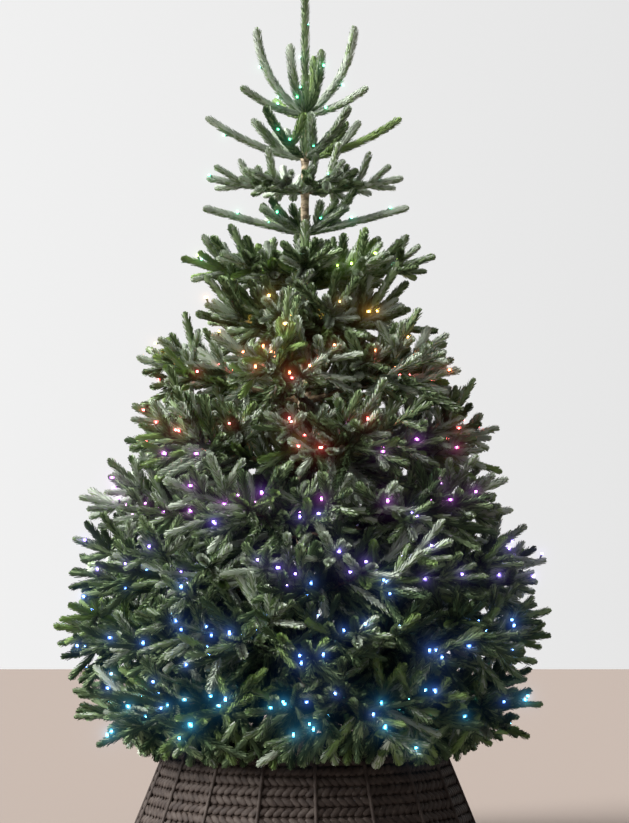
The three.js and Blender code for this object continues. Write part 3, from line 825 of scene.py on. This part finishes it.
def limb_bark(growths, nodes):
    """The woody limbs with their bark, each one whole from the trunk to the end of its stem."""
    tubes, sides = [], 8
    for growth in growths:
        for number, (curve, end, thick, thin) in enumerate(growth.stems):
            reach = np.linalg.norm(curve[1] + curve[2])
            share = np.linspace(0, end, max(6, int(reach * end / 9)))
            path = np.array([on_curve(curve, t) for t in share])[None]
            turns, along = np.meshgrid(np.arange(sides) / sides, share * reach)
            taper = (thick + (thin - thick) * share)[:, None]
            radius = taper * (1 + 0.16 * bark_relief(turns, along, number + 11))
            radius *= 1 + 0.5 * np.exp(-share * reach / 22)[:, None]
            tubes.append((path, radius[None], sides, UP[None]))
    ride(tube_piece("bark_of_limbs", tubes, LIMB_BARK), "limb_bark", *nodes)


# Geometry Nodes: one shape put on many spots

SPOT_INPUTS = {
    "Spots": "Geometry", "Shape": "Object", "Size jitter": "Float", "Turn jitter": "Float", "Seed": "Int",
    "Finish": "Material",
}


def spot_tree(name):
    """A tree that puts a shape on each spot, its X axis along the spot's way and its Z axis outward."""
    tree = bpy.data.node_groups.new(name, "GeometryNodeTree")
    for socket, kind in SPOT_INPUTS.items():
        tree.interface.new_socket(socket, in_out="INPUT", socket_type="NodeSocket" + kind)
    tree.interface.new_socket("Made", in_out="OUTPUT", socket_type="NodeSocketGeometry")

    def out(socket, kind, inputs=(), **settings):
        return add_node(tree, kind, inputs, **settings).outputs[socket]

    def own(attribute):
        kind = "GeometryNodeInputNamedAttribute"
        return out("Attribute", kind, {"Name": attribute}, data_type="FLOAT_VECTOR")

    def drawn(low, high):
        return out("Value", "FunctionNodeRandomValue", {"Min": low, "Max": high, "Seed": given["Seed"]})

    given = add_node(tree, "NodeGroupInput").outputs
    shape = out("Geometry", "GeometryNodeObjectInfo", {"Object": given["Shape"]})
    align = "FunctionNodeAlignRotationToVector"
    outward = out("Rotation", align, {"Vector": own("outward")}, axis="Z")
    facing = {"Rotation": outward, "Vector": own("along")}
    along = out("Rotation", align, facing, axis="X", pivot_axis="Z")
    widest = given["Turn jitter"]
    turn = drawn(out(0, "ShaderNodeMath", {0: widest, 1: -1}, operation="MULTIPLY"), widest)
    about = out("Vector", "ShaderNodeCombineXYZ", {"Z": turn})
    turning = {"Rotation": along, "Rotate By": about}
    turned = out("Rotation", "FunctionNodeRotateRotation", turning, rotation_space="LOCAL")
    smallest = out(0, "ShaderNodeMath", {0: 1, 1: given["Size jitter"]}, operation="SUBTRACT")
    sizing = {0: own("size"), "Scale": drawn(smallest, 1)}
    size = out("Vector", "ShaderNodeVectorMath", sizing, operation="SCALE")
    placing = {"Points": given["Spots"], "Instance": shape, "Rotation": turned, "Scale": size}
    placed = out("Instances", "GeometryNodeInstanceOnPoints", placing)
    whole = out("Geometry", "GeometryNodeRealizeInstances", {"Geometry": placed})
    coating = {"Geometry": whole, "Material": given["Finish"]}
    coated = out("Geometry", "GeometryNodeSetMaterial", coating)
    add_node(tree, "NodeGroupOutput", {"Made": coated})
    return tree


SPOT_TREE = spot_tree("shape_on_spots")


def on_spots(name, shape, spots, along, outward, size, finish, seed, size_jitter=0.0, turn_jitter=0.0):
    """A plain mesh with the shape on every spot. spots and size are millimetres."""
    mesh = bpy.data.meshes.new(name)
    mesh.from_pydata([tuple(p) for p in np.asarray(spots) * MM], [], [])
    vectors = {"along": along, "outward": outward, "size": np.asarray(size) * MM}
    for key, value in vectors.items():
        attribute = mesh.attributes.new(key, "FLOAT_VECTOR", "POINT")
        attribute.data.foreach_set("vector", np.ascontiguousarray(value, np.float32).ravel())
    piece = linked_object(name, mesh)
    modifier = piece.modifiers.new("spots", "NODES")
    modifier.node_group = SPOT_TREE
    given = {"Shape": shape, "Seed": seed, "Finish": finish}
    given |= {"Size jitter": size_jitter, "Turn jitter": turn_jitter}
    for socket in SPOT_TREE.interface.items_tree:
        if socket.name in given:
            modifier[socket.identifier] = given[socket.name]
    depsgraph = bpy.context.evaluated_depsgraph_get()
    plain = bpy.data.meshes.new_from_object(piece.evaluated_get(depsgraph))
    piece.modifiers.clear()
    piece.data = plain
    bpy.data.meshes.remove(mesh)
    plain.name = name
    for attribute in [a for a in plain.attributes if a.name in vectors]:
        plain.attributes.remove(attribute)
    plain.polygons.foreach_set("use_smooth", np.ones(len(plain.polygons), bool))
    return piece


def ring_faces(ring, above, sides):
    """The faces between two rings of points, each ring given by its number."""
    low, high = ring * sides, above * sides
    return [(low + i, low + (i + 1) % sides, high + (i + 1) % sides, high + i) for i in range(sides)]


def turned_shape(name, profile, sides):
    """A closed shape turned about Z from a profile of (radius, height), in whole units."""
    rings = np.array([p for p in profile if p[0] > 0])
    turn = np.arange(sides) * 2 * math.pi / sides
    points = [(r * math.cos(a), r * math.sin(a), z) for r, z in rings for a in turn]
    points += [(0, 0, profile[0][1]), (0, 0, profile[-1][1])]
    faces = []
    for ring in range(len(rings) - 1):
        faces += ring_faces(ring, ring + 1, sides)
    foot, tip, last = len(rings) * sides, len(rings) * sides + 1, (len(rings) - 1) * sides
    faces += [(foot, (i + 1) % sides, i) for i in range(sides)]
    faces += [(tip, last + i, last + (i + 1) % sides) for i in range(sides)]
    mesh = bpy.data.meshes.new(name)
    mesh.from_pydata(points, [], faces)
    return linked_object(name, mesh)


# Light string

def strung_path(path, slim, lamp_gap, rnd):
    """The wire's helix along one strung shoot, and where its lamps stand and point."""
    root, run, bow, needle = path
    needle_share, last, lies = SLIM_STRING if slim else FULL_STRING
    length = np.linalg.norm(run + bow)
    steps = max(8, int(length / WIRE.step))
    s = np.linspace(0, 1, steps)[:, None]
    centre = root + run * s + bow * s * s
    tangent = unit(run + 2 * bow * s)
    upward = UP if abs(tangent[0][2]) < STEEP else np.array([1.0, 0, 0])
    level = unit(np.cross(tangent, upward))
    raised = np.cross(level, tangent)
    turns = length / rnd.uniform(*WIRE.turn) * (1 if rnd.random() < 0.5 else -1)
    turn = rnd.uniform(0, 6.28) + s * turns * 2 * math.pi
    around = level * np.cos(turn) + raised * np.sin(turn)
    wire = centre + around * (needle * needle_share + WIRE.off_shoot)
    away = unit(wire * [1, 1, 0] + [0, 0, 0.01])
    outwards = (around * (away + UP * LAMP_PLACE.up)).sum(1)
    pitch = lamp_gap * rnd.uniform(*LAMP_PLACE.pitch)
    first = length * LAMP_PLACE.first + rnd.uniform(0, LAMP_PLACE.jitter) * pitch
    lamps = []
    for place in np.arange(first, length * last, pitch):
        middle = min(steps - 1, int(place / length * steps))
        low, high = max(0, middle - 2), min(steps, middle + 3)
        i = low + int(np.argmax(outwards[low:high]))
        lie = lies[0] if slim else rnd.uniform(*lies)
        jitter = rnd.normal(0, LAMP_PLACE.aim_jitter, 3)
        lamps.append((wire[i], unit(around[i] + away[i] * LAMP_PLACE.away + tangent[i] * lie + jitter)))
    return wire, lamps


def strung_paths(growths):
    """All the stretches of wire, and all the lamps."""
    rnd = np.random.default_rng(77)
    wires, lamps = [], []
    for growth in growths:
        for path in growth.strung:
            wire, own_lamps = strung_path(path, growth.habit is OPEN_HABIT, growth.habit.lamp_gap, rnd)
            wires.append(wire)
            lamps += own_lamps
    return wires, lamps


def wire_piece(wires):
    tubes = []
    for wire in wires:
        facing = UP if abs(unit(wire[-1] - wire[0])[2]) < 0.9 else np.array([1.0, 0, 0])
        tubes.append((wire[None], np.full((1, len(wire)), WIRE.radius), WIRE.sides, facing[None]))
    ride(tube_piece("light_wire", tubes, WIRE_GREEN), "young_needles")


def lamp_pieces(lamps):
    """The lamps' holders, and their lenses in a piece for each colour."""
    holder = turned_shape("holder_shape", HOLDER_PROFILE, 6)
    lens = turned_shape("lens_shape", LENS_PROFILE, 7)
    spots, aims = (np.array(column) for column in zip(*lamps))
    ways = unit(np.cross(aims, UP) + [0.001, 0, 0])
    ones = np.ones((len(spots), 3))
    ride(on_spots("lamp_holders", holder, spots, ways, aims, ones, LAMP_GREEN, 5), "young_needles")
    rnd = np.random.default_rng(31)
    tops = spots[:, 2] + rnd.normal(0, LAMP.band_jitter, len(spots))
    lows = [low for _, _, low in LAMP_COLOURS]
    band = np.array([next(i for i, low in enumerate(lows) if z > low or low == 0) for z in tops])
    for number, (colour, glow, _) in enumerate(LAMP_COLOURS):
        own = band == number
        pale = tuple(LAMP.pale + (1 - LAMP.pale) * c for c in glow)
        strength = LAMP.strength * (LAMP.weak if number < LAMP.weak_colours else 1)
        finish = lit_lens(f"{colour}_lamp", pale, glow, strength)
        piece = on_spots(f"lamps_{colour}", lens, spots[own], ways[own], aims[own], ones[own], finish, 6)
        ride(piece, "young_needles")
    bpy.data.objects.remove(holder)
    bpy.data.objects.remove(lens)


# Woven collar and stand

def wall_radius(z):
    return COLLAR.foot_radius + (COLLAR.rim_radius - COLLAR.foot_radius) * z / COLLAR.height


def seam_point(panel, z, inset):
    return polar(wall_radius(z) - inset, COLLAR.seam + panel * 360 / COLLAR.panels, z)


def on_panel(place, z, inset=0.0):
    """A point on the collar's flat panels. place counts panels round from the first seam."""
    panel = math.floor(place)
    share = place - panel
    return seam_point(panel, z, inset) * (1 - share) + seam_point(panel + 1, z, inset) * share


def panel_frame(place):
    """The level way along a panel and the way out of its face."""
    panel = math.floor(place)
    along = unit(on_panel(panel + 0.999, 0) - on_panel(panel, 0))
    up_slope = unit(on_panel(panel + 0.5, COLLAR.height) - on_panel(panel + 0.5, 0))
    return along, unit(np.cross(along, up_slope))


def woven_turns():
    """Each visible turn of strand in the weave: its spot, way, outward side and size."""
    row_height = (COLLAR.height - HOOP_HEIGHT) / WEAVE_ROWS
    for row in range(WEAVE_ROWS):
        z = HOOP_HEIGHT + (row + 0.5) * row_height
        lean = PLAIT.lean if row % 2 else -PLAIT.lean
        spacing = 2 * wall_radius(z) * math.tan(math.pi / COLLAR.panels) / PLAIT.per_panel
        size = (spacing * PLAIT.overlap, PLAIT.thick, PLAIT.deep)
        for panel in range(COLLAR.panels):
            for number in range(PLAIT.per_panel):
                place = panel + (number + 0.5) / PLAIT.per_panel
                along, out = panel_frame(place)
                yield on_panel(place, z, PLAIT.inset), turned_about(along, out, lean), out, size


def rope_turns():
    """Each turn of strand in the twisted hoop at the foot and in the rolled rim."""
    for z, inset, count, length, thick in ROPES:
        for number in range(COLLAR.panels * count):
            place = (number + 0.5) / count
            along, out = panel_frame(place)
            for layer in (-1, 1):
                spot = on_panel(place, z, inset) + out * 0.4 * layer
                size = (length, thick * 0.9, thick * (1 if layer > 0 else 0.8))
                yield spot, turned_about(along, out, 40 * layer), out, size


def collar_pieces():
    strand = turned_shape("strand", STRAND_PROFILE, 8)
    for vertex in strand.data.vertices:
        x, y, z = vertex.co
        vertex.co = (z, y, -x)
    piece = on_spots("collar_weave", strand, *zip(*woven_turns()), CANE, 12, 0.14, 0.16)
    ride(piece, "rattan", "woven_collar")
    ride(collar_backing(), "rattan")
    ride(on_spots("collar_hoop_and_rim", strand, *zip(*rope_turns()), CANE, 13, 0.1, 0.08), "rattan")
    ride(collar_seams(), "rattan")
    bpy.data.objects.remove(strand)


def collar_backing():
    """The dark wall behind the strands, with the frame's inner face."""
    panels = COLLAR.panels
    points = [seam_point(k, z, inset) for inset, z in BACKING for k in range(panels)]
    faces = []
    for ring in range(len(BACKING)):
        faces += ring_faces(ring, (ring + 1) % len(BACKING), panels)
    return mesh_piece("collar_backing", points, faces, [CANE_SHADE])


def collar_seams():
    """A rib of cane over each seam between two panels."""
    heights = np.linspace(SEAM_RIB.foot, COLLAR.height - SEAM_RIB.below_rim, SEAM_RIB.rings)
    panels = range(COLLAR.panels)
    paths = np.array([[seam_point(k, z, SEAM_RIB.inset) for z in heights] for k in panels])
    radii = np.full(paths.shape[:2], SEAM_RIB.radius)
    tube = (paths, radii, SEAM_RIB.sides, unit(paths[:, 0] * [1, 1, 0]))
    return tube_piece("collar_seams", [tube], CANE)


def stand_pieces():
    """The stand keeps its shape and takes its paint, with three wing screws through the socket."""
    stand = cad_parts["stand"]
    stand.data.materials.clear()
    stand.data.materials.append(STEEL)
    screw = turned_shape("screw_shape", SCREW_PROFILE, 12)
    radius = SOCKET.radius - SCREWS.sunk
    spots = np.array([polar(radius, bearing, SCREWS.height) for bearing in SCREWS.bearings])
    outs = unit(spots * [1, 1, 0])
    ways = np.tile(UP, (3, 1))
    piece = on_spots("clamp_screws", screw, spots, ways, outs, np.ones((3, 3)), STEEL, 2)
    ride(piece, "steel")
    bpy.data.objects.remove(screw)


# Room, light and camera

def place_camera():
    data = bpy.data.cameras.new("camera")
    data.lens = CAMERA.lens
    data.sensor_width = CAMERA.sensor
    camera = linked_object("camera", data)
    camera.location = CAMERA.place
    camera.rotation_mode = "QUATERNION"
    aim = Vector(CAMERA.aim) - camera.location
    camera.rotation_quaternion = aim.to_track_quat("-Z", "Y")
    bpy.context.scene.camera = camera


def place_floor():
    half, back = FLOOR.half, FLOOR.back
    corners = [(-half, -half, 0), (half, -half, 0), (half, back, 0), (-half, back, 0)]
    finish = new_finish("pale_floor", FLOOR.colour, 1, Specular_IOR_Level=0)
    floor = mesh_piece("floor", corners, [(0, 1, 2, 3)], [finish])


def place_world():
    """A pale room, brightest towards its back wall and its left side."""
    world = bpy.data.worlds.new("studio")
    world.use_nodes = True
    tree = world.node_tree
    place = add_node(tree, "ShaderNodeTexCoord").outputs["Generated"]
    slope = add_node(tree, "ShaderNodeVectorMath", {0: place, 1: ROOM.slope}, operation="DOT_PRODUCT")
    level = add_node(tree, "ShaderNodeMath", {0: slope.outputs["Value"], 1: ROOM.level})
    tree.links.new(level.outputs["Value"], tree.nodes["Background"].inputs["Color"])
    bpy.context.scene.world = world
    bpy.context.scene.view_settings.view_transform = "Standard"


def place_window():
    """A soft light from the left."""
    data = bpy.data.lights.new("window_left", "SUN")
    data.energy = WINDOW.power
    data.angle = math.radians(WINDOW.softness)
    data.color = WINDOW.colour
    window = linked_object("window_left", data)
    window.rotation_mode = "QUATERNION"
    window.rotation_quaternion = Vector(WINDOW.way).to_track_quat("-Z", "Y")


def add_glow():
    """The soft halo that a camera shows round a lit lamp."""
    scene = bpy.context.scene
    scene.use_nodes = True
    tree = scene.node_tree
    tree.nodes.clear()
    picture = add_node(tree, "CompositorNodeRLayers").outputs["Image"]
    glow = add_node(tree, "CompositorNodeGlare", {"Image": picture, **GLOW}, glare_type="BLOOM")
    add_node(tree, "CompositorNodeComposite", {"Image": glow.outputs["Image"]})


place_camera()
place_floor()
place_world()
place_window()
add_glow()


def shades_between(share):
    """The share of each shade of shoot, from the upper whorls at 0 to the lowest at 1, darker downwards
    partly as painted shade.
    """
    return [(1 - share) * upper + share * lower for upper, lower in zip(UPPER_SHADES, LOWER_SHADES)]


def limb_names(whorl, kind):
    return [f"{whorl}_{kind}_{limb + 1}" for limb in range(LIMBS_PER_WHORL)]


open_growths = []
for index in range(len(OPEN_WHORLS)):
    growth = Growth(100 + index, UPPER_SHADES, OPEN_HABIT if index < BROAD_FROM else BROAD_HABIT)
    grow_open_whorl(growth, index, NEEDLE_LENGTH.open + NEEDLE_LENGTH.open_step * index)
    open_growths.append(growth)
crown_top = Growth(99, UPPER_SHADES, OPEN_HABIT)
foot, height = LEADER.foot, LEADER.tip - LEADER.foot
leader = (np.array([0, 0, foot]), np.array([0, 0, height]), np.array([0.0, 0, 0]))
wooded = (TRUNK.top - foot) / height
crown_top.add(*part_of(leader, wooded, 1), NEEDLE_LENGTH.leader, MID, wood=WOOD.leader)
crown_top.add(*part_of(leader, 0.08, wooded), NEEDLE_LENGTH.trunk, MID, wood=WOOD.trunk)
crown_top.strung.append((*part_of(leader, 0.1, 0.97), NEEDLE_LENGTH.leader + 2))

full_growths = []
for index in range(len(FULL_WHORLS)):
    # Each full whorl takes darker shades the lower it stands, partly as painted shade
    growth = Growth(220 + index, shades_between(((index + 1) / len(FULL_WHORLS)) ** 1.7), FULL_HABIT)
    for limb in range(LIMBS_PER_WHORL):
        grow_fan(growth, index, limb, NEEDLE_LENGTH.full)
    full_growths.append(growth)
# The fringe takes the lowest whorl's dark shades, partly as painted shade
fringe = Growth(300, LOWER_SHADES, FULL_HABIT)
hang_fringe(fringe, full_growths[-1], NEEDLE_LENGTH.full)

open_names = [whorl[0] for whorl in OPEN_WHORLS]
slim_names, broad_names = open_names[:BROAD_FROM], open_names[BROAD_FROM:]
top_growths = [crown_top, *open_growths[:BROAD_FROM]]
needle_piece("needles_of_top_whorls", top_growths, "young_needles", "leader", *slim_names)
needle_piece("needles_of_whorls_05_06", open_growths[BROAD_FROM:], "young_needles", *broad_names)
bough_nodes = []
for (name, *_, has_boughs), growth in zip(FULL_WHORLS, full_growths):
    if has_boughs:
        bough_nodes += limb_names(name, "bough")
    needle_piece(f"needles_of_{name}", [growth], "needles", *limb_names(name, "fan"))
needle_piece("needles_of_fringe", [fringe], "needles")
twig_piece("twigs_of_open_whorls", [crown_top, *open_growths], "limb_bark")
twig_piece("twigs_of_full_whorls", [*full_growths, fringe], "limb_bark")
trunk_bark()
limb_bark([*open_growths, *full_growths], bough_nodes)
wires, lamps = strung_paths([crown_top, *open_growths, *full_growths])
wire_piece(wires)
lamp_pieces(lamps)
collar_pieces()
stand_pieces()
